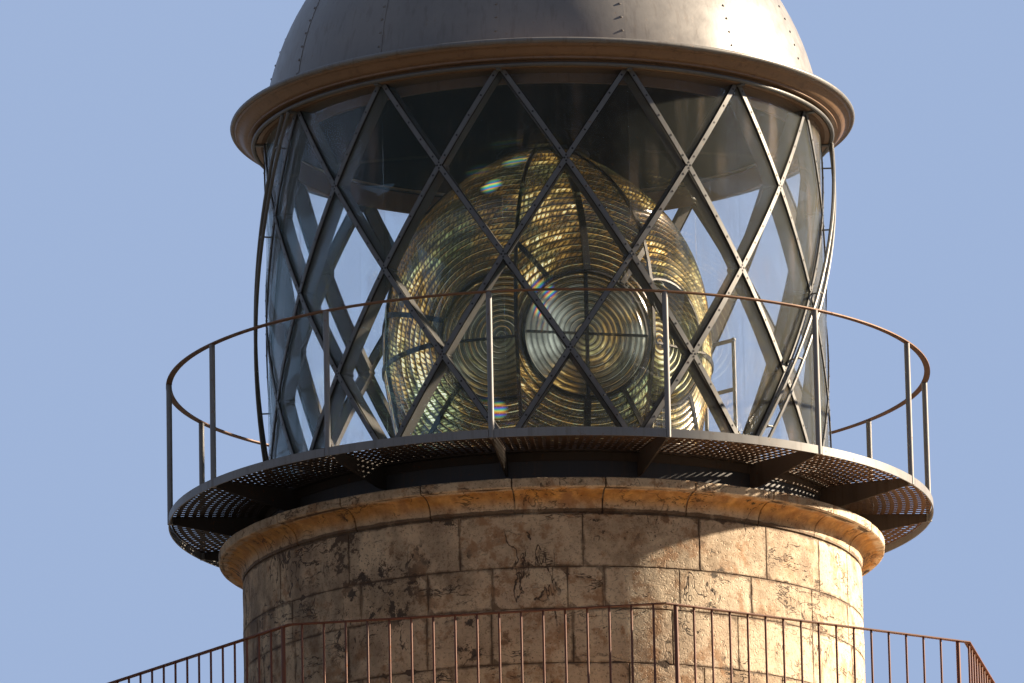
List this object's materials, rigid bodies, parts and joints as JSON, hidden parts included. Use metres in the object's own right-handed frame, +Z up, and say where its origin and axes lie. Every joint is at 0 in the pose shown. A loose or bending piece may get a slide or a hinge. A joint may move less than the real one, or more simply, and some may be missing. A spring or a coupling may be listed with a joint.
{
  "type": "lighthouse",
  "caption": "Stone lighthouse with an octagonal tower, a railed terrace, a round drum, a steel gallery and a domed lantern whose prism lens turns",
  "frame": {"origin": "middle of the tower's foot on the ground", "axes": "+Z up, -Y the side of the lantern that faces the viewer, +X to the viewer's right"},
  "size_m": [6.0116, 6.0116, 18.3241],
  "materials": {
    "stone": "dressed limestone blocks, dark spots and stains",
    "grey_paint": "satin grey paint, worn",
    "dark_paint": "dark grey satin paint",
    "red_brown_paint": "red-brown paint, weathered",
    "bronze": "dark tarnished bronze",
    "lens_glass": "thick cut glass, amber and green",
    "pane_glass": "clear curved glass",
    "window_glass": "clear window glass"
  },
  "bodies": {
    "tower": {"tower_walls": "stone", "tower_corner_walls": "stone", "plinth_course": "stone", "ground_floor": "stone", "entrance_frame": "red_brown_paint", "entrance_door": "red_brown_paint", "window_frames": "dark_paint", "window_panes": "window_glass", "terrace": "stone", "railing_posts": "red_brown_paint", "railing_panels": "red_brown_paint", "drum_wall": "stone", "terrace_door_frame": "dark_paint", "terrace_door": "dark_paint", "stone_cornice": "stone", "murette": "dark_paint", "gallery_ledger": "dark_paint", "gallery_brackets": "grey_paint", "gallery_floor": "grey_paint", "gallery_fascia": "grey_paint", "gallery_posts": "grey_paint", "gallery_handrail": "grey_paint", "service_floor": "dark_paint", "inner_handrail": "grey_paint", "lantern_kerb": "dark_paint", "glazing_bars": "dark_paint", "glass_panes": "pane_glass", "cover_strips": "grey_paint", "lantern_head": "dark_paint", "ring_rail": "grey_paint", "ring_rail_brackets": "grey_paint", "climbing_rails": "grey_paint", "climbing_rungs": "grey_paint", "eave": "grey_paint", "dome": "grey_paint", "dome_straps": "grey_paint", "ventilator": "grey_paint", "lightning_rod": "dark_paint", "lens_pedestal": "dark_paint"},
    "lens": {"lens_table": "bronze", "lens_frame": "bronze", "lens_prisms": "lens_glass", "bulls_eyes": "lens_glass"}
  },
  "joints": [
    {"name": "lens_turn", "type": "hinge", "parent": "tower", "child": "lens", "pos_m": [0, 0, 12.1], "axis": [0, 0, 1], "continuous": true}
  ]
}
